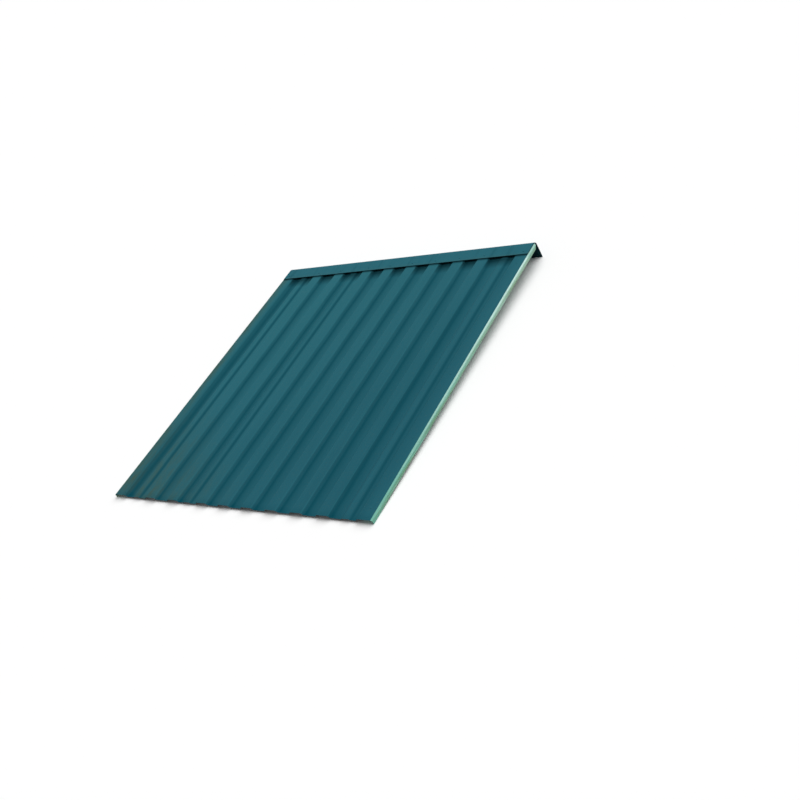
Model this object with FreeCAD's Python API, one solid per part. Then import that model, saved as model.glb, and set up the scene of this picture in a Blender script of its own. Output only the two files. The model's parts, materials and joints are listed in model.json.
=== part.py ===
"""Metal roofing panel: one ribbed steel sheet with its ridge cap and two verge trims.

The panel is drawn square to its own sheet, with X along the ridge, Y up the slope from the eave
and Z out of the roof. It is then laid down on the ground, where it rests on the far wing of the
ridge cap and on the eave ends of the verge trims.
"""
import FreeCAD, Part
import math
import os

# Steel and folds, in millimetres
gauge = 0.5
hem_width = 9.0
hem_gap = 1.0

# Ribbed sheet
sheet_length = 1233.0
rib_pitch = 110.0
rib_height = 8.0
crest_width = 44.0
flank_run = 8.0
sheet_bend = 5.0

# Rib groups, the rib spacing across the three wide pans beside them, and the extra crest at each edge
left_group_ribs = 2
left_group_pitch = 121.0
right_group_ribs = 6
left_pan_spacing = 168.0
middle_pan_spacing = 150.0
right_pan_spacing = 161.0
edge_margin = 6.0

# Low stiffener in each wide pan, and how far it stands off the middle of that pan
stiffener_height = 3.5
stiffener_top = 22.0
stiffener_flank = 9.0
left_offset = 3.5
middle_offset = 0.0
right_offset = 11.0

# Ridge cap, and how far its apex stands past the upper end of the sheet
cap_wing = 71.0
cap_bend = 15.0
cap_past_sheet = 26.0
cap_end_clearance = 0.5

# Verge trim, whose flange lies under the edge rib of the sheet and whose mitre stays inside the cap's corner
trim_leg = 15.0
trim_bend = 6.0
trim_clearance = 9.0
mitre_setback = 11.0

# Levels and places that follow from the sizes above
ACROSS = FreeCAD.Vector(1, 0, 0)
UPSLOPE = FreeCAD.Vector(0, 1, 0)
OUTWARD = FreeCAD.Vector(0, 0, 1)
half_gauge = gauge / 2
hem_radius = (hem_gap + gauge) / 2
pan_level = half_gauge
crest_level = pan_level + rib_height
flange_level = crest_level - gauge
cap_level = crest_level + gauge + 2 * hem_radius
cap_top = cap_level + half_gauge
apex = sheet_length + cap_past_sheet


def folded_side(corners, shift, across):
    """Lines and arcs along one face of a folded strip, at a distance from its middle line."""
    points = [across * u + OUTWARD * v for u, v, radius in corners]
    runs = [(b - a).normalize() for a, b in zip(points, points[1:])]
    axis = across.cross(OUTWARD)
    offsets = [axis.cross(run) * shift for run in runs]
    curves = []
    last = points[0] + offsets[0]
    for i in range(1, len(points) - 1):
        radius = corners[i][2]
        turn = math.atan2(runs[i - 1].cross(runs[i]).dot(axis), runs[i - 1].dot(runs[i]))
        setback = radius * math.tan(abs(turn) / 2)
        to_centre = (runs[i] - runs[i - 1]).normalize()
        centre = points[i] + to_centre * (radius / math.cos(turn / 2))
        middle = centre - to_centre * (radius - math.copysign(1, turn) * shift)
        arc_start = points[i] - runs[i - 1] * setback + offsets[i - 1]
        arc_end = points[i] + runs[i] * setback + offsets[i]
        if not arc_start.isEqual(last, 1e-6):
            curves.append(Part.LineSegment(last, arc_start))
        curves.append(Part.Arc(arc_start, middle, arc_end))
        last = arc_end
    curves.append(Part.LineSegment(last, points[-1] + offsets[-1]))
    return curves


def folded_strip(corners, across, along):
    """A strip of the gauge, folded at its corners (across, outward, middle bend radius)."""
    upper = folded_side(corners, half_gauge, across)
    lower = folded_side(corners, -half_gauge, across)
    start_edge = Part.LineSegment(lower[0].StartPoint, upper[0].StartPoint)
    end_edge = Part.LineSegment(upper[-1].EndPoint, lower[-1].EndPoint)
    curves = upper + [end_edge] + lower + [start_edge]
    outline = Part.Wire(Part.__sortEdges__([curve.toShape() for curve in curves]))
    return Part.Face(outline).extrude(along)


def rib_spacings():
    """Distances from each rib centre to the next, with the offset of the stiffener in a wide pan."""
    left_group = [(left_group_pitch, None)] * (left_group_ribs - 1)
    right_group = [(rib_pitch, None)] * (right_group_ribs - 1)
    left_pan = (left_pan_spacing, left_offset)
    middle_pan = (middle_pan_spacing, middle_offset)
    right_pan = (right_pan_spacing, right_offset)
    return [left_pan] + left_group + [middle_pan] + right_group + [right_pan]


cover_width = sum(spacing for spacing, offset in rib_spacings())
sheet_width = cover_width + crest_width + 2 * edge_margin
half_width = sheet_width / 2


def profiled_sheet():
    """The sheet runs from edge to edge on the crests of its two edge ribs."""
    half_crest = crest_width / 2
    half_foot = half_crest + flank_run
    half_top = stiffener_top / 2
    half_base = half_top + stiffener_flank
    top_level = pan_level + stiffener_height
    centre = -cover_width / 2
    corners = [(-half_width, crest_level, 0)]
    for spacing, offset in rib_spacings():
        corners.append((centre + half_crest, crest_level, sheet_bend))
        corners.append((centre + half_foot, pan_level, sheet_bend))
        if offset is not None:
            middle = centre + spacing / 2 + offset
            corners.append((middle - half_base, pan_level, sheet_bend))
            corners.append((middle - half_top, top_level, sheet_bend))
            corners.append((middle + half_top, top_level, sheet_bend))
            corners.append((middle + half_base, pan_level, sheet_bend))
        centre += spacing
        corners.append((centre - half_foot, pan_level, sheet_bend))
        corners.append((centre - half_crest, crest_level, sheet_bend))
    corners.append((half_width, crest_level, 0))
    return folded_strip(corners, ACROSS, UPSLOPE * sheet_length)


def ridge_cap():
    """A right-angled cap whose near wing rests by its hem on the crests of the sheet."""
    lower_edge = apex - cap_wing + half_gauge
    far_side = apex - half_gauge
    far_edge = cap_level - cap_wing + gauge
    corners = [
        (lower_edge + hem_width, cap_level - 2 * hem_radius, 0),
        (lower_edge, cap_level - 2 * hem_radius, hem_radius),
        (lower_edge, cap_level, hem_radius),
        (far_side, cap_level, cap_bend),
        (far_side, far_edge, hem_radius),
        (far_side - 2 * hem_radius, far_edge, hem_radius),
        (far_side - 2 * hem_radius, far_edge + hem_width, 0),
    ]
    half_cap = half_width - cap_end_clearance
    cap = folded_strip(corners, UPSLOPE, ACROSS * (2 * half_cap))
    cap.translate(ACROSS * -half_cap)
    return cap


def past_mitre(depth, width):
    """A wedge past a slanted plane, at half the angle of the ridge, that starts level with the cap's top."""
    top = apex - mitre_setback
    end = apex + gauge
    corners = [(top, 0), (top - depth, depth), (end, depth), (end, 0), (top, 0)]
    outline = Part.makePolygon([UPSLOPE * u + OUTWARD * (cap_top - v) for u, v in corners])
    return Part.Face(outline).extrude(ACROSS * width)


def verge_trim():
    """The right-hand trim: flange under the sheet, round edge, hemmed leg that is mitred at the apex."""
    flange_end = half_width - crest_width + trim_clearance
    leg = half_width + trim_bend
    foot = flange_level + gauge - trim_leg
    corners = [
        (flange_end, flange_level, 0),
        (leg, flange_level, trim_bend),
        (leg, foot, hem_radius),
        (leg - 2 * hem_radius, foot, hem_radius),
        (leg - 2 * hem_radius, foot + hem_width, 0),
    ]
    trim = folded_strip(corners, ACROSS, UPSLOPE * apex)
    notch = Part.makeBox(half_width - flange_end + gauge, cap_past_sheet + gauge, 2 * gauge)
    notch.translate(FreeCAD.Vector(flange_end - gauge, sheet_length, flange_level - gauge))
    return trim.cut(notch).cut(past_mitre(cap_top - foot + gauge, leg + gauge))


def laid_down(pieces):
    """The panel tipped until cap and trims touch the ground, its footprint centred on the origin."""
    cap_foot = cap_top - cap_wing
    trim_foot = crest_level - half_gauge - trim_leg
    tip = math.atan2(trim_foot - cap_foot, apex - half_gauge - hem_radius)
    for piece in pieces:
        piece.rotate(FreeCAD.Vector(0, 0, 0), ACROSS, math.degrees(tip))
    box = Part.makeCompound(pieces).optimalBoundingBox(False)
    for piece in pieces:
        piece.translate(FreeCAD.Vector(-box.Center.x, -box.Center.y, -box.ZMin))
    return pieces


right_trim = verge_trim()
left_trim = right_trim.mirror(FreeCAD.Vector(0, 0, 0), ACROSS)
nodes = ["profiled_sheet", "ridge_cap", "verge_trim_right", "verge_trim_left"]
panel = laid_down([profiled_sheet(), ridge_cap(), right_trim, left_trim])

os.makedirs("parts", exist_ok=True)
for node, piece in zip(nodes, panel):
    piece.exportStep("parts/" + node + ".step")
    print(node, "valid" if piece.isValid() else "NOT VALID", round(piece.Volume), "mm3")
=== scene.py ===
"""Metal roofing panel: paint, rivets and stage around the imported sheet, ridge cap and verge trims."""
import json
import math
from functools import cached_property

import bmesh
import bpy
from bpy.props import FloatProperty, FloatVectorProperty, IntProperty, PointerProperty
from mathutils import Matrix, Vector


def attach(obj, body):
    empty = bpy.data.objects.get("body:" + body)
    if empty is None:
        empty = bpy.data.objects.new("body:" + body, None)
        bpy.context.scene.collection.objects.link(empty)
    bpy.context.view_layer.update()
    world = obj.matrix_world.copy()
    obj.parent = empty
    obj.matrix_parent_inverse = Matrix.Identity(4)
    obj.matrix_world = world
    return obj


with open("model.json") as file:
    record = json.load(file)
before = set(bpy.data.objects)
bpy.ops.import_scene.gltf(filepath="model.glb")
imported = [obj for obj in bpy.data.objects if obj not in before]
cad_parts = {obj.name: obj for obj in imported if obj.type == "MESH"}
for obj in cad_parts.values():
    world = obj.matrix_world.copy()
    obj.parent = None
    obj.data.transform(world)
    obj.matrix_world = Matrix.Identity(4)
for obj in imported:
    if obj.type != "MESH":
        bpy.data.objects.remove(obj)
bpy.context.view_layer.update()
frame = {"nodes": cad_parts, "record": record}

bl_info = {
    "name": "Metal Roofing Panel",
    "version": (1, 0, 0),
    "blender": (4, 5, 0),
    "location": "View3D > Sidebar > Roof Panel",
    "description": "Paints a ribbed steel roofing panel, rivets it together and sets up its studio stage",
    "category": "Object",
}

SHEET = "profiled_sheet"
CAP = "ridge_cap"
TRIMS = ("verge_trim_right", "verge_trim_left")
SLOTS = {subpart["node"]: subpart["material_slot"] for subpart in frame["record"]["subparts"]}

# The panel lies a little tipped on the ground, so its own directions come from the seat for the battens
ACROSS = Vector((1, 0, 0))
OUTWARD = -Vector(frame["record"]["mounts"][0]["axis"])
UPSLOPE = OUTWARD.cross(ACROSS)

# Levels of the sheet's flat tops as shares of the rib height, and the least gap between two tops in metres
CREST_LEVELS = (0.985, 1.01)
STIFFENER_LEVELS = (0.44, 0.5)
TOP_GAP = 0.055

# Painted shade bands, in metres from the right edge of a flat top to where the band starts, is darkest and
# ends
LEFT_BAND = (-0.018, 0.025, 0.062)
STIFFENER_BAND = (-0.004, 0.007, 0.022)

# The same for bands whose end is a setting
RIB_BAND = (0.0, 0.0145)
RIGHT_BAND = (0.002, 0.007)

# Depths in metres below the crests between which the painted highlight and wear set in, and a pan's painted
# shadow gives way to a crest's
HIGHLIGHT_DEPTHS = (0.0025, 0.001)
SHADOW_DEPTHS = (0.0042, 0.001)

# Metres below the cap's edge where the painted shadow is darkest in a pan, and where it starts and is full
# on a crest
DARKEST_SHADOW = 0.01
CREST_SHADOW_SPAN = (0.014, 0.002)

# How far dust reaches up from the cap's edge, and where below its fold the dust and painted highlight start
# and are full, in metres
EDGE_DUST = 0.018
FOLD_SPAN = (0.016, 0.004)

# Directions in which the sheet grows lighter, and in which earth gathers on it
TO_RIDGE_LEFT = UPSLOPE * 0.72 - ACROSS * 0.7
TO_EAVE_LEFT = UPSLOPE * -0.75 - ACROSS * 0.65

# Where along those directions the lightening and earth start and are full, and how ragged that is, in
# metres
GRADING_SPAN = (-0.62, 1.38)
GRADING_RAGGED = 0.35
EARTH_SPAN = (0.45, 1.05)
EARTH_RAGGED = 0.2

# How far above the eave and the ridge the trims' paling starts and ends, and how ragged it is, in metres
PALING_SHIFT = 0.25
PALING_RAGGED = 0.3

# How squarely a face has to look along a direction for a finish to start and to be full, as cosines
WEATHER_FACE = (-0.25, -0.05)
CUT_FACE = (0.9, 0.97)
MITRED_FACE = (0.5, 0.65)
SHOULDER_FACE = (0.998, 0.98)
DRIP_FACE = (-0.2, -0.6)
ROUND_FACE = (0.35, 0.8)

# Sizes of the patterns in the paint, in metres
CLOUD_SIZE = 0.26
WISP_SIZE = 0.03
PATCH_SIZE = 0.022
WOBBLE_SIZE = 0.05
WAVE_SIZE = 0.19
CAP_CLOUD_SIZE = 0.14
CAP_STREAK_SIZE = 0.024
CAP_RUB_SIZE = 0.012
CAP_WAVE_SIZE = 0.12
TRIM_RUB_SIZE = 0.01

# Sizes of the fine marks that all the paints have, in metres
SPECKLE_SIZE = 0.004
ROLL_LINE_SIZE = 0.0035
PEEL_SIZE = 0.0022
PEEL_DEPTH = 0.00002

# How the lines left by the rolls are drawn out: up the slope on the sheet and the trims, along the cap
SHEET_ROLLING = (1, 60, 20)
CAP_ROLLING = (60, 1, 1)
TRIM_ROLLING = (1, 60, 1)

# Spacing of the specks of grit in metres, their radius as a share of it, and how much of a radius is solid
SHEET_GRIT = (0.034, 0.045)
CAP_GRIT = (0.028, 0.05)
TRIM_GRIT = (0.02, 0.05)
SPECK_CORE = 0.4

# How much of the earth lies in its thin and its thick patches
PATCH_SHARES = (0.5, 1.45)

# What smooth and rubbed patches add to the roughness of each paint, and what dirt adds to the sheet's
SHEET_ROUGHNESS = (-0.04, 0.06)
CAP_ROUGHNESS = (-0.05, 0.06)
TRIM_ROUGHNESS = (-0.05, 0.08)
DIRT_ROUGHNESS = 0.3

# Section of a rivet head from its rim to the broken stem sunk in its middle, as shares of radius and rise
RIVET_SECTION = (
    (1.0, -0.06), (1.0, 0.22), (0.97, 0.36), (0.82, 0.64), (0.62, 0.88),
    (0.44, 1.0), (0.38, 0.98), (0.34, 0.78), (0.28, 0.74), (0.14, 0.80),
)
RIVET_SIDES = 28


def tint(name, description, default):
    """A colour property, as linear light."""
    return FloatVectorProperty(
        name=name, description=description, default=default, subtype="COLOR", size=3, min=0.0, max=1.0
    )


def length(name, description, default):
    """A length property, in metres."""
    return FloatProperty(
        name=name, description=description, default=default, min=0.0,
        unit="LENGTH", subtype="DISTANCE", precision=4,
    )


def share(name, description, default):
    """A property from none to all."""
    return FloatProperty(
        name=name, description=description, default=default, min=0.0, max=1.0, subtype="FACTOR"
    )


def angle(name, description, degrees):
    """An angle property, with its default in degrees."""
    return FloatProperty(
        name=name, description=description, default=math.radians(degrees), unit="ROTATION", subtype="ANGLE"
    )


def light_level(name, description, default):
    """A property for the strength of a light."""
    return FloatProperty(name=name, description=description, default=default, min=0.0)


class TealPaint(bpy.types.PropertyGroup):
    """Coil coating of the sheet and the ridge cap"""

    teal: tint("Teal", "Paint of the sheet at the eave's right corner", (0.0167, 0.1033, 0.1388))
    # Besides the paler paint, this teal paints a highlight along the crests' shoulders
    sunned: tint("Sunned teal", "Faded paint at the ridge's left corner", (0.0236, 0.1432, 0.178))
    cap_teal: tint("Cap teal", "Paint of the ridge cap, from another coil", (0.020, 0.123, 0.160))
    # Painted shade: this dark teal paints the ribs' and stiffeners' shadows in the pans and along the eave,
    # and dark rain streaks on the cap
    damp: tint("Damp teal", "Paint where dirt and damp stay beside the ribs", (0.003, 0.061, 0.086))
    # Painted shadow: this black paints the shade under the cap and on its lower edge, and dark blotches on
    # the sheet
    grime: tint("Grime", "Black dirt in the shelter of the cap", (0.001, 0.010, 0.013))
    dust: tint("Dust", "Dry dust that lies in specks all over", (0.082, 0.113, 0.070))
    earth: tint("Earth", "Brown dirt at the eave's left corner and the left edge", (0.054, 0.088, 0.058))
    backing: tint("Backing coat", "Dull dark coat on the underside", (0.022, 0.05, 0.058))
    zinc: tint("Cut edge", "Weathered zinc and steel at the cut ends", (0.10, 0.12, 0.13))
    gloss: share("Gloss", "Strength of the reflections in the paint", 0.01)
    roughness: share("Roughness", "Roughness of clean paint", 0.46)
    # Painted shade beside the ribs, the stiffeners and the left edge, and along the eave
    foot_damp: share("Foot damp", "How much of the damp shows at the feet of the ribs", 0.27)
    foot_reach: length("Foot reach", "How far the foot damp reaches from the edges of the crests", 0.032)
    pan_damp: share("Pan damp", "How much of the damp shows in the pans beside the ribs", 0.64)
    pan_reach: length("Pan reach", "How far the pan damp reaches from the edges of the crests", 0.069)
    wobble: length("Wobble", "How far the damp wanders to the sides", 0.007)
    last_creep: length("Last creep", "How far damp creeps up the last rib before the right edge", 0.004)
    stiffener_damp: share("Stiffener damp", "How much of the damp shows at the stiffeners' feet", 0.85)
    left_damp: share("Left damp", "How much of the damp shows beside the crest at the left edge", 0.9)
    right_damp: share("Right damp", "How much of the damp shows to the right of the last stiffener", 0.45)
    eave_damp: share("Eave damp", "How much of the damp shows along the eave", 0.25)
    eave_reach: length("Eave reach", "How far the damp reaches up from the eave", 0.03)
    # Painted shadow under the cap, on the crests at its edge and on its lower edge
    cap_grime: share("Cap grime", "How much of the grime shows in the pans just under the cap", 0.72)
    cap_reach: length("Cap reach", "How far the grime reaches from the cap down the pans", 0.052)
    crest_grime: share("Crest grime", "How much of the grime shows on the crests at the cap's edge", 0.75)
    drip_grime: share("Drip grime", "How much of the grime shows on the cap's lower edge", 0.85)
    eave_earth: share("Eave earth", "How much of the earth shows at the eave's left corner", 0.62)
    edge_earth: share("Edge earth", "How much of the earth shows along the left edge", 0.52)
    edge_reach: length("Edge reach", "How far the earth reaches in from the left edge", 0.05)
    blotches: share("Blotches", "Strength of the cloudy fading on the sheet", 0.05)
    cap_blotches: share("Cap blotches", "Strength of the cloudy fading on the cap", 0.25)
    streaks: share("Streaks", "Strength of the rain streaks on the sheet", 0.12)
    cap_streaks: share("Cap streaks", "Strength of the rain streaks on the cap", 0.35)
    grit: share("Grit", "Strength of the specks of grit on the sheet", 0.5)
    cap_grit: share("Cap grit", "Strength of the specks of grit on the cap", 0.25)
    cap_edge_dust: share("Cap edge dust", "How much of the dust shows along the cap's lower edge", 0.16)
    # Dust and a painted highlight along the cap's fold
    cap_fold_dust: share("Cap fold dust", "How much of the dust shows along the cap's fold", 0.12)
    film: share("Film", "Strength of the fine speckle of dust", 0.2)
    roll_marks: share("Roll marks", "Strength of the fine lines left by the rolls", 0.22)
    # A painted highlight, with some chalky wear, along the crests' shoulders
    edge_wear: share("Edge wear", "Strength of the chalky wear along the shoulders of the ribs", 0.3)
    waviness: length("Waviness", "Height of the slow waves in the thin sheet", 0.0024)
    cap_waviness: length("Cap waviness", "Height of the slow waves in the cap", 0.0015)


class MintPaint(bpy.types.PropertyGroup):
    """Satin coating of the verge trims, painted in the mint that teal trims show in sunlight: painted light
    """

    mint: tint("Mint", "Paint of the trims at the eave", (0.128, 0.41, 0.335))
    pale: tint("Pale mint", "Paint of the trims towards the ridge", (0.42, 0.63, 0.53))
    # This pale mint paints a highlight on the round edge, and the pale roll lines
    bleached: tint("Bleached mint", "Paint bleached on the round edge", (0.62, 0.86, 0.84))
    bleached_share: share("Bleached share", "How much of the bleaching shows", 0.6)
    stain: tint("Stain", "Yellow-green dirt low on the leg", (0.135, 0.235, 0.10))
    stain_reach: length("Stain reach", "How far the stain climbs from the foot of the leg", 0.019)
    stain_share: share("Stain share", "How much of the stain shows", 0.85)
    # Painted shadow of the cap at the trims' upper ends
    ridge_shade: share("Ridge shade", "How much of the darker mint shows beside the cap", 0.5)
    ridge_reach: length("Ridge reach", "How far the darker mint reaches down from the cap", 0.03)
    grit: share("Grit", "Strength of the specks of dirt", 0.3)
    film: share("Film", "Strength of the fine speckle of dirt", 0.45)
    roll_marks: share("Roll marks", "Strength of the fine lines left by the rolls", 0.25)
    gloss: share("Gloss", "Strength of the reflections in the paint", 0.08)
    roughness: share("Roughness", "Roughness of the satin paint", 0.38)


class RivetSizes(bpy.types.PropertyGroup):
    """Small painted blind rivets"""

    head: length("Head", "Diameter of a rivet head", 0.0066)
    rise: length("Rise", "Height of a rivet head", 0.001)
    above_edge: length("Above edge", "Distance from the cap's lower edge to its rivets", 0.016)
    verge_end: length("Verge end", "Distance from eave and cap to the nearest verge rivets", 0.045)
    verge_rivets: IntProperty(name="Verge rivets", description="Rivets along each verge", default=5, min=2)


class StageSettings(bpy.types.PropertyGroup):
    """Camera, lights and floor"""

    camera_place: FloatVectorProperty(
        name="Camera", description="Place of the camera", default=(2.45722, -1.95766, 1.72626),
        subtype="XYZ", unit="LENGTH",
    )
    heading: angle("Heading", "Turn of the camera to the left of the upslope direction", 48.2119)
    pitch: angle("Pitch", "How far the camera looks down", 31.9816)
    roll: angle("Roll", "Clockwise lean of the camera", 30.4834)
    lens: FloatProperty(name="Lens", description="Focal length", default=45.09, min=1.0, unit="CAMERA")
    sun_from: FloatVectorProperty(
        name="Sun from", description="Direction that the soft main light comes from",
        default=(0.28, 0.48, 0.83), subtype="DIRECTION",
    )
    sun_level: light_level("Sun level", "Strength of the main light", 3.12)
    sun_softness: angle("Sun softness", "Width of the main light as seen from the panel", 80)
    sky_level: light_level("Sky level", "Strength of the even light all round", 0.22)
    floor: tint("Floor", "Pale floor", (0.96, 0.96, 0.96))
    floor_roughness: share("Floor roughness", "Roughness of the floor", 0.9)
    floor_half: length("Floor half", "Half the side of the floor", 150.0)


class PanelSettings(bpy.types.PropertyGroup):
    """All settings of the roofing panel"""

    teal: PointerProperty(name="Teal paint", description="Paint of sheet and ridge cap", type=TealPaint)
    mint: PointerProperty(name="Mint paint", description="Paint of the verge trims", type=MintPaint)
    rivets: PointerProperty(name="Rivets", description="Rivets of cap and verges", type=RivetSizes)
    stage: PointerProperty(name="Stage", description="Camera, lights and floor", type=StageSettings)


class Finish:
    """The shader nodes of one material, with a short call for each kind of node that the paints use."""

    def __init__(self, name):
        self.material = bpy.data.materials.new(name)
        self.material.use_nodes = True
        self.tree = self.material.node_tree
        self.shader = self.tree.nodes["Principled BSDF"]

    @cached_property
    def place(self):
        """Where a point lies in the row frame, in metres."""
        return self.node("ShaderNodeTexCoord", {}).outputs["Object"]

    @cached_property
    def normal(self):
        """The way that a face looks, without any bump."""
        return self.node("ShaderNodeNewGeometry", {}).outputs["True Normal"]

    @cached_property
    def across(self):
        """How far a point lies across the panel."""
        return self.along(self.place, ACROSS)

    @cached_property
    def upslope(self):
        """How far a point lies up the slope."""
        return self.along(self.place, UPSLOPE)

    @cached_property
    def outward(self):
        """How far a point lies out of the roof."""
        return self.along(self.place, OUTWARD)

    def feed(self, socket, value):
        """Links a socket to the value, or sets the value on it."""
        if isinstance(value, bpy.types.NodeSocket):
            self.tree.links.new(value, socket)
        elif socket.type == "RGBA":
            socket.default_value = (*value, 1.0)
        else:
            socket.default_value = value

    def node(self, kind, inputs, **settings):
        """A new node with its settings made and its inputs fed."""
        node = self.tree.nodes.new(kind)
        for name, value in settings.items():
            setattr(node, name, value)
        for key, value in inputs.items():
            self.feed(node.inputs[key], value)
        return node

    def calculate(self, operation, *values):
        """The result of one operation on one or two numbers."""
        return self.node("ShaderNodeMath", dict(enumerate(values)), operation=operation).outputs[0]

    def times(self, first, second):
        """One number times another."""
        return self.calculate("MULTIPLY", first, second)

    def plus(self, first, second):
        """One number plus another."""
        return self.calculate("ADD", first, second)

    def greater(self, first, second):
        """The greater of two numbers."""
        return self.calculate("MAXIMUM", first, second)

    def along(self, vector, direction):
        """How far a vector reaches along a direction."""
        node = self.node("ShaderNodeVectorMath", {0: vector, 1: direction}, operation="DOT_PRODUCT")
        return node.outputs["Value"]

    def facing(self, direction):
        """How squarely a face looks along a direction, as a cosine."""
        return self.along(self.normal, direction)

    def ramp(self, value, low, high, start=0.0, end=1.0):
        """A smooth step from start to end as the value goes from low to high."""
        inputs = {"Value": value, "From Min": low, "From Max": high, "To Min": start, "To Max": end}
        return self.node("ShaderNodeMapRange", inputs, interpolation_type="SMOOTHSTEP").outputs["Result"]

    def noise(self, size, stretch=(1, 1, 1), detail=3.0, roughness=0.5):
        """Cloudy noise, mostly between 0.3 and 0.7, in patches about as wide as the size in metres."""
        spread = self.node("ShaderNodeMapping", {"Vector": self.place, "Scale": [1 / s for s in stretch]})
        inputs = {"Vector": spread.outputs[0], "Scale": 1 / size, "Detail": detail, "Roughness": roughness}
        return self.node("ShaderNodeTexNoise", inputs).outputs["Fac"]

    def line_through(self, value, points, interpolation="EASE"):
        """A line through (value, height) points in rising order, level outside them."""
        low, high = points[0][0], points[-1][0]
        inputs = {"Value": value, "From Min": low, "From Max": high}
        scaled = self.node("ShaderNodeMapRange", inputs).outputs["Result"]
        ramp = self.node("ShaderNodeValToRGB", {"Fac": scaled})
        ramp.color_ramp.interpolation = interpolation
        stops = ramp.color_ramp.elements
        for point, _ in points[1:-1]:
            stops.new((point - low) / (high - low))
        for stop, (_, height) in zip(stops, points):
            stop.color = (height, height, height, 1)
        return ramp.outputs["Color"]

    def specks(self, spacing, radius):
        """Round specks, one to each cell of a spacing in metres, whose radius is a share of it."""
        cells = self.node("ShaderNodeTexVoronoi", {"Vector": self.place, "Scale": 1 / spacing})
        return self.ramp(cells.outputs["Distance"], radius * SPECK_CORE, radius, 1.0, 0.0)

    def mix(self, amount, under, over):
        """One colour over another, through the node's colour sockets, which have to be found by number."""
        return self.node("ShaderNodeMix", {0: amount, 6: under, 7: over}, data_type="RGBA").outputs[2]

    def bump(self, height, distance, normal=None):
        """A normal bent by a height that spans 0 to 1 over the distance, in metres."""
        inputs = {"Height": height, "Distance": distance}
        if normal is not None:
            inputs["Normal"] = normal
        return self.node("ShaderNodeBump", inputs).outputs["Normal"]

    def set(self, **sockets):
        """Feeds the shader, with underscores for the spaces in the sockets' names."""
        for name, value in sockets.items():
            self.feed(self.shader.inputs[name.replace("_", " ")], value)


def dress(node, finish):
    """Puts a finish on a node of the frame."""
    frame["nodes"][node].material_slots[0].material = finish.material


def level_of(node, direction, pick):
    """The lowest or highest reach of a node along a direction."""
    return pick(vertex.co.dot(direction) for vertex in frame["nodes"][node].data.vertices)


def flat_tops(lowest, highest):
    """Left and right edges of the sheet's flat tops between two shares of the rib height, from the left."""
    low, high = level_of(SHEET, OUTWARD, min), level_of(SHEET, OUTWARD, max)
    edges = []
    for vertex in frame["nodes"][SHEET].data.vertices:
        if lowest <= (vertex.co.dot(OUTWARD) - low) / (high - low) <= highest:
            edges.append(vertex.co.x)
    edges.sort()
    tops = [[edges[0]]]
    for x in edges[1:]:
        if x - tops[-1][-1] > TOP_GAP:
            tops.append([])
        tops[-1].append(x)
    return [(top[0], top[-1]) for top in tops]


def crest_centres():
    """Where the crests of the sheet lie across the panel, from left to right."""
    return [(left + right) / 2 for left, right in flat_tops(*CREST_LEVELS)]


def right_edges(levels):
    """The right edges of the sheet's flat tops at some levels, from left to right."""
    return [right for _, right in flat_tops(*levels)]


def on_panel(across, upslope, outward):
    """A point in the row frame from its places along the panel's own directions."""
    return ACROSS * across + UPSLOPE * upslope + OUTWARD * outward


def beside(finish, across, edges, band, interpolation="EASE"):
    """A band to the right of each edge, given as distances to where it starts, peaks and ends."""
    start, peak, end = band
    points = []
    for edge in edges:
        points += [(edge + start, 0.0), (edge + peak, 1.0), (edge + end, 0.0)]
    return finish.line_through(across, points, interpolation)


def fine_marks(finish, colour, rolling, film, dust, marks, faded):
    """A colour with a fine speckle of dust, and faded lines along the way that the steel was rolled."""
    speckle = finish.noise(SPECKLE_SIZE, roughness=0.6)
    colour = finish.mix(finish.ramp(speckle, 0.5, 0.75, 0.0, film), colour, dust)
    lines = finish.noise(ROLL_LINE_SIZE, stretch=rolling, detail=2)
    return finish.mix(finish.ramp(lines, 0.5, 0.75, 0.0, marks), colour, faded)


def back_coated(finish, colour, facing, backing):
    """A colour where the steel faces the weather, and the backing coat where it faces away."""
    return finish.mix(finish.ramp(facing, *WEATHER_FACE), backing, colour)


def bare_ended(finish, colour, direction, zinc, square=CUT_FACE):
    """A colour with bare metal on the ends that were cut about square to a direction."""
    end_on = finish.calculate("ABSOLUTE", finish.facing(direction))
    return finish.mix(finish.ramp(end_on, *square), colour, zinc)


def orange_peel(finish, normal=None):
    """The fine uneven skin of a coil coating."""
    return finish.bump(finish.noise(PEEL_SIZE, detail=2), PEEL_DEPTH, normal)


def graded_teal(finish, paint, clouds, wisps):
    """Teal that grows lighter towards the ridge's left corner, with cloudy blotches and rain streaks."""
    to_ridge_left = finish.along(finish.place, TO_RIDGE_LEFT)
    grading = finish.plus(to_ridge_left, finish.times(clouds, GRADING_RAGGED))
    colour = finish.mix(finish.ramp(grading, *GRADING_SPAN), paint.teal, paint.sunned)
    colour = finish.mix(finish.ramp(clouds, 0.38, 0.68, 0.0, paint.blotches), colour, paint.grime)
    return finish.mix(finish.ramp(wisps, 0.45, 0.75, 0.0, paint.streaks), colour, paint.sunned)


def left_earth(finish, paint, wisps):
    """Where patches of earth lie at the eave's left corner and along the left edge."""
    to_eave_left = finish.along(finish.place, TO_EAVE_LEFT)
    gathering = finish.plus(to_eave_left, finish.times(wisps, EARTH_RAGGED))
    at_corner = finish.ramp(gathering, *EARTH_SPAN, 0.0, paint.eave_earth)
    left_edge = level_of(SHEET, ACROSS, min)
    at_edge = finish.ramp(finish.across, left_edge, left_edge + paint.edge_reach, paint.edge_earth, 0.0)
    patches = finish.noise(PATCH_SIZE, stretch=(1, 3, 1), detail=5, roughness=0.65)
    patchy = finish.ramp(patches, 0.35, 0.65, *PATCH_SHARES)
    return finish.times(finish.greater(at_corner, at_edge), patchy)


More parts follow.
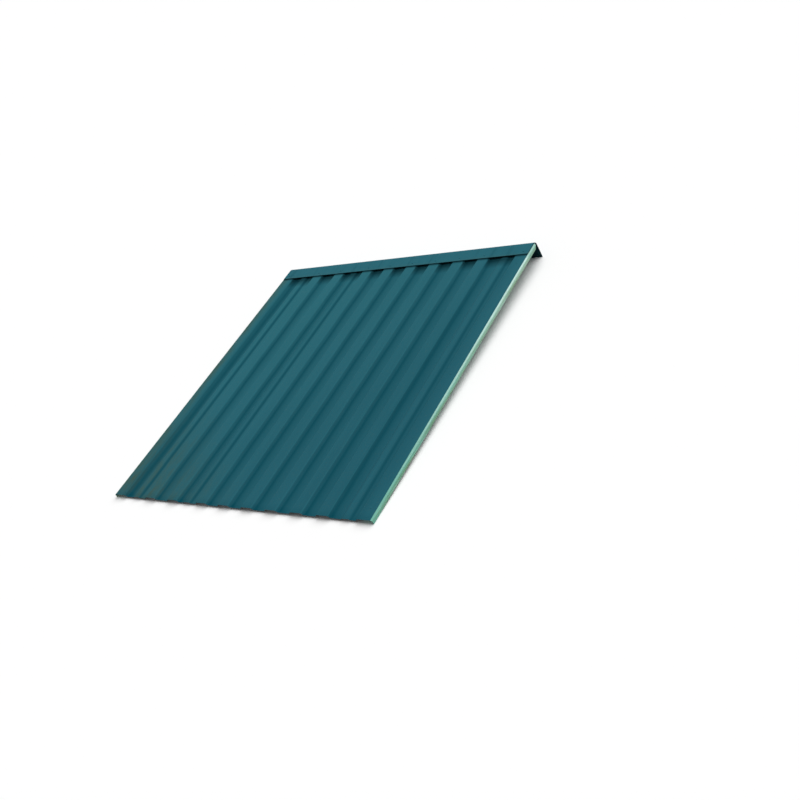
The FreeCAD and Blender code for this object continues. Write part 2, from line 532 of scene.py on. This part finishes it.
def rib_shade(finish, paint):
    """Where shade is painted: along the eave and, wandering a little, to the right of the ribs and
    stiffeners, where their shadows fall.
    """
    wobble = finish.plus(finish.noise(WOBBLE_SIZE, stretch=(1, 2.5, 1)), -0.5)
    wandering = finish.plus(finish.across, finish.times(wobble, paint.wobble))
    crests = right_edges(CREST_LEVELS)
    ribs = crests[1:-1]
    ribs[-1] -= paint.last_creep
    stiffeners = right_edges(STIFFENER_LEVELS)
    at_feet = beside(finish, wandering, ribs, (*RIB_BAND, paint.foot_reach))
    in_pans = beside(finish, wandering, ribs, (*RIB_BAND, paint.pan_reach), "LINEAR")
    by_left = beside(finish, wandering, crests[:1], LEFT_BAND)
    by_right = beside(finish, wandering, stiffeners[-1:], (*RIGHT_BAND, paint.pan_reach), "LINEAR")
    by_stiffeners = beside(finish, finish.across, stiffeners, STIFFENER_BAND)
    eave = level_of(SHEET, UPSLOPE, min)
    damp = finish.ramp(finish.upslope, eave, eave + paint.eave_reach, paint.eave_damp, 0.0)
    for band, amount in (
        (at_feet, paint.foot_damp),
        (in_pans, paint.pan_damp),
        (by_left, paint.left_damp),
        (by_right, paint.right_damp),
    ):
        damp = finish.plus(damp, finish.times(band, amount))
    return finish.greater(damp, finish.times(by_stiffeners, paint.stiffener_damp))


def shoulder_highlight_and_wear(finish, paint):
    """Where a highlight is painted, with some chalky wear, as the crests turn down into their flanks."""
    crest = level_of(SHEET, OUTWARD, max)
    lower, upper = [crest - depth for depth in HIGHLIGHT_DEPTHS]
    turning = finish.ramp(finish.facing(OUTWARD), *SHOULDER_FACE, 0.0, paint.edge_wear)
    return finish.times(finish.ramp(finish.outward, lower, upper), turning)


def under_cap_shadow(finish, paint):
    """Where the cap's shadow is painted: some way down the pans, but only at the cap's edge on the crests.
    """
    cap_edge = level_of(CAP, UPSLOPE, min)
    shadow_falloff = [
        (cap_edge - paint.cap_reach, 0.0),
        (cap_edge - DARKEST_SHADOW, paint.cap_grime),
        (cap_edge, paint.cap_grime / 2),
    ]
    in_pans = finish.line_through(finish.upslope, shadow_falloff, "LINEAR")
    start, full = [cap_edge - distance for distance in CREST_SHADOW_SPAN]
    on_crests = finish.ramp(finish.upslope, start, full, 0.0, paint.crest_grime)
    crest = level_of(SHEET, OUTWARD, max)
    lower, upper = [crest - depth for depth in SHADOW_DEPTHS]
    return finish.ramp(finish.outward, lower, upper, in_pans, on_crests)


def sheet_finish(paint):
    """Teal paint, lighter towards the ridge's left corner, with painted shade beside the ribs, a painted
    shadow under the cap and a painted highlight on the crests' shoulders, over slow waves in the steel.
    """
    finish = Finish(SLOTS[SHEET])
    clouds = finish.noise(CLOUD_SIZE, stretch=(1, 2.2, 1), detail=4)
    wisps = finish.noise(WISP_SIZE, stretch=(1, 14, 1), detail=4, roughness=0.6)
    colour = graded_teal(finish, paint, clouds, wisps)
    earth = left_earth(finish, paint, wisps)
    colour = finish.mix(earth, colour, paint.earth)
    grit = finish.times(finish.specks(*SHEET_GRIT), finish.ramp(clouds, 0.4, 0.6, 0.0, paint.grit))
    colour = finish.mix(grit, colour, paint.dust)
    colour = fine_marks(
        finish, colour, SHEET_ROLLING, paint.film, paint.dust, paint.roll_marks, paint.sunned
    )
    # Painted shade: the ribs' shadows in the pans and a dark band along the eave
    colour = finish.mix(rib_shade(finish, paint), colour, paint.damp)
    # Painted highlight, with some wear, where the crests turn into their flanks
    colour = finish.mix(shoulder_highlight_and_wear(finish, paint), colour, paint.sunned)
    # Painted shadow of the cap in the pans and on the crests
    grime = under_cap_shadow(finish, paint)
    colour = finish.mix(grime, colour, paint.grime)
    colour = back_coated(finish, colour, finish.facing(OUTWARD), paint.backing)
    colour = bare_ended(finish, colour, UPSLOPE, paint.zinc)

    waves = finish.noise(WAVE_SIZE, stretch=(1, 1.8, 1), detail=1)
    normal = orange_peel(finish, finish.bump(waves, paint.waviness))
    rough = finish.plus(finish.ramp(clouds, 0.3, 0.7, *SHEET_ROUGHNESS), paint.roughness)
    rough = finish.plus(rough, finish.times(finish.plus(earth, grime), DIRT_ROUGHNESS))
    finish.set(Base_Color=colour, Roughness=rough, Normal=normal, Specular_IOR_Level=paint.gloss)
    return finish


def cap_finish(paint):
    """Teal paint of the ridge cap, streaked by rain, dusty along its lower edge, with dust and a painted
    highlight along its fold and painted shade on its lower edge.
    """
    finish = Finish(SLOTS[CAP])
    clouds = finish.noise(CAP_CLOUD_SIZE, stretch=(2.5, 1, 1), detail=4)
    colour = finish.mix(finish.ramp(clouds, 0.4, 0.7, 0.0, paint.cap_blotches), paint.cap_teal, paint.teal)
    streaks = finish.noise(CAP_STREAK_SIZE, stretch=(1, 14, 14), detail=4, roughness=0.6)
    colour = finish.mix(finish.ramp(streaks, 0.5, 0.75, 0.0, paint.cap_streaks), colour, paint.sunned)
    colour = finish.mix(finish.ramp(streaks, 0.5, 0.25, 0.0, paint.cap_streaks), colour, paint.damp)

    # Dust along the lower edge, and dust with a painted highlight along the fold
    lower, upper = level_of(CAP, UPSLOPE, min), level_of(CAP, UPSLOPE, max)
    start, full = [upper - distance for distance in FOLD_SPAN]
    at_edge = finish.ramp(finish.upslope, lower, lower + EDGE_DUST, paint.cap_edge_dust, 0.0)
    at_fold = finish.ramp(finish.upslope, start, full, 0.0, paint.cap_fold_dust)
    rubs = finish.noise(CAP_RUB_SIZE, stretch=(18, 1, 1), detail=4, roughness=0.6)
    dust_and_highlight = finish.times(finish.plus(at_edge, at_fold), finish.ramp(rubs, 0.25, 0.6))
    colour = finish.mix(dust_and_highlight, colour, paint.dust)
    colour = finish.mix(finish.times(finish.specks(*CAP_GRIT), paint.cap_grit), colour, paint.dust)
    colour = fine_marks(finish, colour, CAP_ROLLING, paint.film, paint.dust, paint.roll_marks, paint.sunned)
    # Painted shade on the cap's lower edge, which faces down the slope
    nose_shade = finish.ramp(finish.facing(UPSLOPE), *DRIP_FACE, 0.0, paint.drip_grime)
    colour = finish.mix(nose_shade, colour, paint.grime)
    outside = finish.greater(finish.facing(OUTWARD), finish.facing(UPSLOPE))
    colour = back_coated(finish, colour, outside, paint.backing)
    colour = bare_ended(finish, colour, ACROSS, paint.zinc)

    waves = finish.noise(CAP_WAVE_SIZE, stretch=(2.5, 1, 1), detail=1)
    normal = orange_peel(finish, finish.bump(waves, paint.cap_waviness))
    rough = finish.plus(finish.ramp(rubs, 0.3, 0.7, *CAP_ROUGHNESS), paint.roughness)
    finish.set(Base_Color=colour, Roughness=rough, Normal=normal, Specular_IOR_Level=paint.gloss)
    return finish


def trim_finish(mint, zinc):
    """Satin mint paint that stands in for sunlit teal, paler towards the ridge, with a painted highlight on
    the round edge, a painted shadow below the cap and a stain low on the leg.
    """
    finish = Finish(SLOTS[TRIMS[0]])
    eave, ridge = level_of(TRIMS[0], UPSLOPE, min), level_of(TRIMS[0], UPSLOPE, max)
    rubs = finish.noise(TRIM_RUB_SIZE, stretch=(1, 25, 1), detail=4, roughness=0.6)
    climb = finish.plus(finish.upslope, finish.times(rubs, PALING_RAGGED))
    paling = finish.ramp(climb, eave + PALING_SHIFT, ridge + PALING_SHIFT)
    colour = finish.mix(paling, mint.mint, mint.pale)
    # Painted highlight on the round edge, growing towards the ridge
    highlight = finish.ramp(climb, eave, ridge, 0.0, mint.bleached_share)
    round_edge = finish.ramp(finish.facing(OUTWARD), *ROUND_FACE)
    colour = finish.mix(finish.times(round_edge, highlight), colour, mint.bleached)
    # Painted shadow of the cap: darker mint just below its edge
    cap_edge = level_of(CAP, UPSLOPE, min)
    by_cap = finish.ramp(finish.upslope, cap_edge - mint.ridge_reach, cap_edge, 0.0, mint.ridge_shade)
    colour = finish.mix(by_cap, colour, mint.mint)

    foot = level_of(TRIMS[0], OUTWARD, min)
    low = finish.ramp(finish.outward, foot, foot + mint.stain_reach, mint.stain_share, 0.0)
    colour = finish.mix(finish.times(low, finish.ramp(rubs, 0.2, 0.7)), colour, mint.stain)
    colour = finish.mix(finish.times(finish.specks(*TRIM_GRIT), mint.grit), colour, mint.stain)
    colour = fine_marks(finish, colour, TRIM_ROLLING, mint.film, mint.stain, mint.roll_marks, mint.bleached)
    colour = bare_ended(finish, colour, UPSLOPE, zinc, MITRED_FACE)

    rough = finish.plus(finish.ramp(rubs, 0.3, 0.7, *TRIM_ROUGHNESS), mint.roughness)
    normal = orange_peel(finish)
    finish.set(Base_Color=colour, Roughness=rough, Normal=normal, Specular_IOR_Level=mint.gloss)
    return finish


def add_rivet(mesh, place, radius, rise):
    """Turns one blind rivet head: low rim, flat dome and the broken stem sunk in its middle."""
    turns = [2 * math.pi * i / RIVET_SIDES for i in range(RIVET_SIDES)]
    spokes = [ACROSS * math.cos(turn) + UPSLOPE * math.sin(turn) for turn in turns]
    rings = []
    for out, up in RIVET_SECTION:
        spots = [place + spoke * (out * radius) + OUTWARD * (up * rise) for spoke in spokes]
        rings.append([mesh.verts.new(spot) for spot in spots])
    for lower, upper in zip(rings, rings[1:]):
        for i in range(RIVET_SIDES):
            j = (i + 1) % RIVET_SIDES
            mesh.faces.new((lower[i], lower[j], upper[j], upper[i])).smooth = True
    mesh.faces.new(rings[-1]).smooth = True
    mesh.faces.new(list(reversed(rings[0])))


def add_rivets(name, places, sizes, node):
    """One piece that holds a row of like rivets, in the paint of the node that they go through."""
    build = bmesh.new()
    for place in places:
        add_rivet(build, place, sizes.head / 2, sizes.rise)
    data = bpy.data.meshes.new(name)
    build.to_mesh(data)
    build.free()
    data.materials.append(frame["nodes"][node].material_slots[0].material)
    rivets = bpy.data.objects.new(name, data)
    bpy.context.scene.collection.objects.link(rivets)
    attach(rivets, "root")


class ROOFPANEL_OT_paint_sheet(bpy.types.Operator):
    """Paint the ribbed sheet"""

    bl_idname = "roof_panel.paint_sheet"
    bl_label = "Paint Sheet"

    def execute(self, context):
        dress(SHEET, sheet_finish(context.scene.roof_panel.teal))
        return {"FINISHED"}


class ROOFPANEL_OT_paint_cap(bpy.types.Operator):
    """Paint the ridge cap"""

    bl_idname = "roof_panel.paint_cap"
    bl_label = "Paint Ridge Cap"

    def execute(self, context):
        dress(CAP, cap_finish(context.scene.roof_panel.teal))
        return {"FINISHED"}


class ROOFPANEL_OT_paint_trims(bpy.types.Operator):
    """Paint both verge trims"""

    bl_idname = "roof_panel.paint_trims"
    bl_label = "Paint Verge Trims"

    def execute(self, context):
        settings = context.scene.roof_panel
        finish = trim_finish(settings.mint, settings.teal.zinc)
        for trim in TRIMS:
            dress(trim, finish)
        return {"FINISHED"}


class ROOFPANEL_OT_cap_rivets(bpy.types.Operator):
    """Rivet the lower edge of the ridge cap to each crest of the sheet"""

    bl_idname = "roof_panel.cap_rivets"
    bl_label = "Add Cap Rivets"

    def execute(self, context):
        sizes = context.scene.roof_panel.rivets
        upslope = level_of(CAP, UPSLOPE, min) + sizes.above_edge
        outward = level_of(CAP, OUTWARD, max)
        places = [on_panel(across, upslope, outward) for across in crest_centres()]
        add_rivets("cap_rivets", places, sizes, CAP)
        return {"FINISHED"}


class ROOFPANEL_OT_verge_rivets(bpy.types.Operator):
    """Rivet the sheet's two edges to the verge trims"""

    bl_idname = "roof_panel.verge_rivets"
    bl_label = "Add Verge Rivets"

    def execute(self, context):
        sizes = context.scene.roof_panel.rivets
        first = level_of(SHEET, UPSLOPE, min) + sizes.verge_end
        last = level_of(CAP, UPSLOPE, min) - sizes.verge_end
        step = (last - first) / (sizes.verge_rivets - 1)
        rows = [first + step * i for i in range(sizes.verge_rivets)]
        centres = crest_centres()
        verges = (centres[0], centres[-1])
        outward = level_of(SHEET, OUTWARD, max)
        places = [on_panel(across, upslope, outward) for across in verges for upslope in rows]
        add_rivets("verge_rivets", places, sizes, SHEET)
        return {"FINISHED"}


class ROOFPANEL_OT_stage(bpy.types.Operator):
    """Set up the floor, the light and the camera"""

    bl_idname = "roof_panel.stage"
    bl_label = "Set Up Stage"

    def execute(self, context):
        stage = context.scene.roof_panel.stage
        self.lay_floor(context, stage)
        self.hang_light(context, stage)
        self.light_all_round(context, stage)
        self.place_camera(context, stage)
        context.scene.view_settings.view_transform = "Standard"
        return {"FINISHED"}

    def lay_floor(self, context, stage):
        """Lays a large, plain, pale floor."""
        half = stage.floor_half
        data = bpy.data.meshes.new("studio_floor")
        corners = [(-half, -half, 0), (half, -half, 0), (half, half, 0), (-half, half, 0)]
        data.from_pydata(corners, [], [(0, 1, 2, 3)])
        finish = Finish("pale_floor")
        finish.set(Base_Color=stage.floor, Roughness=stage.floor_roughness, Specular_IOR_Level=0.0)
        data.materials.append(finish.material)
        floor = bpy.data.objects.new("studio_floor", data)
        context.scene.collection.objects.link(floor)

    def hang_light(self, context, stage):
        """Hangs one wide, soft main light."""
        sun = bpy.data.lights.new("soft_main_light", "SUN")
        sun.energy = stage.sun_level
        sun.angle = stage.sun_softness
        lamp = bpy.data.objects.new("soft_main_light", sun)
        lamp.rotation_mode = "QUATERNION"
        lamp.rotation_quaternion = Vector(stage.sun_from).to_track_quat("Z", "Y")
        context.scene.collection.objects.link(lamp)

    def light_all_round(self, context, stage):
        """Lights the panel evenly from all round, and shows plain white to the camera, gloss and glass."""
        world = bpy.data.worlds.new("even_light")
        world.use_nodes = True
        tree = world.node_tree
        rays = tree.nodes.new("ShaderNodeLightPath").outputs
        seen = rays["Is Camera Ray"]
        for kind in ("Is Glossy Ray", "Is Transmission Ray"):
            either = tree.nodes.new("ShaderNodeMath")
            either.operation = "MAXIMUM"
            tree.links.new(seen, either.inputs[0])
            tree.links.new(rays[kind], either.inputs[1])
            seen = either.outputs[0]
        strength = tree.nodes.new("ShaderNodeMapRange")
        strength.inputs["To Min"].default_value = stage.sky_level
        tree.links.new(seen, strength.inputs["Value"])
        background = tree.nodes["Background"]
        background.inputs["Color"].default_value = (1, 1, 1, 1)
        tree.links.new(strength.outputs["Result"], background.inputs["Strength"])
        context.scene.world = world

    def place_camera(self, context, stage):
        """Places the camera, turned to its heading, tilted down and leaned to the side."""
        data = bpy.data.cameras.new("camera")
        data.lens = stage.lens
        data.clip_end = 4 * stage.floor_half
        camera = bpy.data.objects.new("camera", data)
        turn = Matrix.Rotation(stage.heading, 4, "Z")
        tilt = Matrix.Rotation(math.pi / 2 - stage.pitch, 4, "X")
        lean = Matrix.Rotation(-stage.roll, 4, "Z")
        camera.matrix_world = Matrix.Translation(stage.camera_place) @ turn @ tilt @ lean
        context.scene.collection.objects.link(camera)
        context.scene.camera = camera


class ROOFPANEL_PT_panel(bpy.types.Panel):
    """Roofing panel tools"""

    bl_idname = "ROOFPANEL_PT_panel"
    bl_label = "Roof Panel"
    bl_space_type = "VIEW_3D"
    bl_region_type = "UI"
    bl_category = "Roof Panel"

    def draw(self, context):
        settings = context.scene.roof_panel
        for key in settings.__annotations__:
            group = getattr(settings, key)
            box = self.layout.box()
            box.label(text=settings.bl_rna.properties[key].name)
            for name in group.__annotations__:
                box.prop(group, name)
        for operator in OPERATORS:
            self.layout.operator(operator.bl_idname)


OPERATORS = (
    ROOFPANEL_OT_paint_sheet,
    ROOFPANEL_OT_paint_cap,
    ROOFPANEL_OT_paint_trims,
    ROOFPANEL_OT_cap_rivets,
    ROOFPANEL_OT_verge_rivets,
    ROOFPANEL_OT_stage,
)
CLASSES = (TealPaint, MintPaint, RivetSizes, StageSettings, PanelSettings, *OPERATORS, ROOFPANEL_PT_panel)


def register():
    """Registers the classes and hangs the settings on the scene."""
    for made in CLASSES:
        bpy.utils.register_class(made)
    bpy.types.Scene.roof_panel = PointerProperty(type=PanelSettings)


def unregister():
    """Takes the settings off the scene and unregisters the classes."""
    del bpy.types.Scene.roof_panel
    for made in reversed(CLASSES):
        bpy.utils.unregister_class(made)


def main():
    """Runs each step in order."""
    register()
    bpy.ops.roof_panel.paint_sheet()
    bpy.ops.roof_panel.paint_cap()
    bpy.ops.roof_panel.paint_trims()
    bpy.ops.roof_panel.cap_rivets()
    bpy.ops.roof_panel.verge_rivets()
    bpy.ops.roof_panel.stage()


if __name__ == "__main__":
    main()
